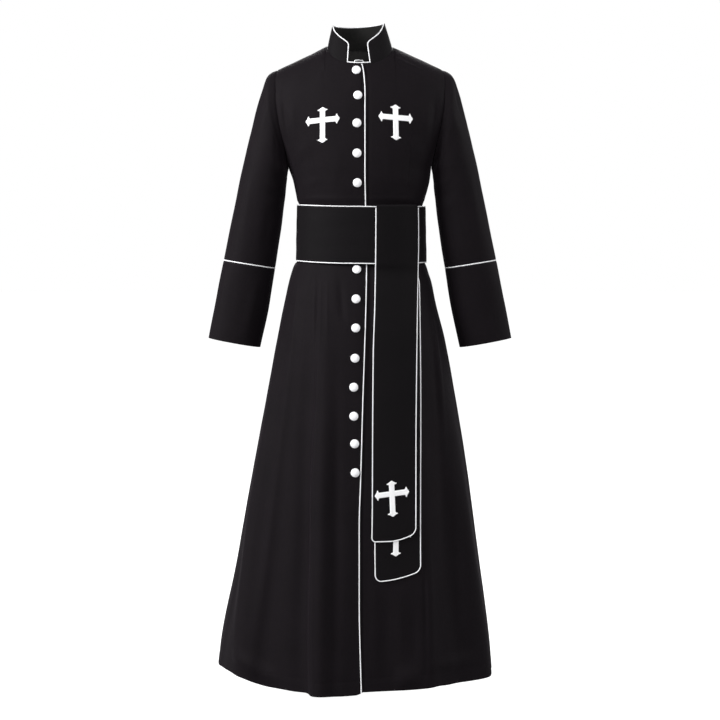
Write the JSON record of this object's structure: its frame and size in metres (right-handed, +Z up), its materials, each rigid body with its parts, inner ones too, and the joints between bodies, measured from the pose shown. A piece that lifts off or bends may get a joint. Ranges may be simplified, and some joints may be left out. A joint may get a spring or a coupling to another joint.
{
  "type": "cassock",
  "caption": "Fitted floor-length black cassock with stand collar, buttoned front, wide waist band with hanging strip, white piping and crosses, standing open as worn.",
  "frame": {"origin": "between the two points where the collar meets the shoulder seams, on the mid-plane, where neck and shoulders carry the garment", "axes": "+X is the wearer's left, -Y the front, +Z up along the body"},
  "size_m": [0.7034, 0.4728, 1.5142],
  "materials": {
    "body_cloth": "matt black suiting with a faint sheen",
    "collar_cloth": "the same suiting, interfaced",
    "cincture_cloth": "black suiting, interfaced and pressed flat",
    "white_piping": "white corded satin",
    "white_buttons": "white cloth drawn over a domed button",
    "white_crosses": "white satin stitch",
    "hook_wire": "bright plated wire"
  },
  "bodies": {
    "root": {"back_left": "body_cloth", "back_right": "body_cloth", "band_piping_foot": "white_piping", "band_piping_top": "white_piping", "button_01": "white_buttons", "button_02": "white_buttons", "button_03": "white_buttons", "button_04": "white_buttons", "button_05": "white_buttons", "button_06": "white_buttons", "button_07": "white_buttons", "button_08": "white_buttons", "button_09": "white_buttons", "button_10": "white_buttons", "button_11": "white_buttons", "button_12": "white_buttons", "button_13": "white_buttons", "cincture_band": "cincture_cloth", "closing_piping": "white_piping", "collar": "collar_cloth", "collar_eye": "hook_wire", "collar_hook": "hook_wire", "collar_piping": "white_piping", "cross_chest_left": "white_crosses", "cross_chest_right": "white_crosses", "cross_tail_back": "white_crosses", "cross_tail_front": "white_crosses", "cuff_left": "body_cloth", "cuff_piping_left": "white_piping", "cuff_piping_right": "white_piping", "cuff_right": "body_cloth", "front_left": "body_cloth", "front_right": "body_cloth", "neckline_piping": "white_piping", "side_front_left": "body_cloth", "side_front_right": "body_cloth", "sleeve_left": "body_cloth", "sleeve_right": "body_cloth", "tail_back": "cincture_cloth", "tail_back_piping": "white_piping", "tail_front": "cincture_cloth", "tail_front_piping": "white_piping"}
  },
  "joints": []
}
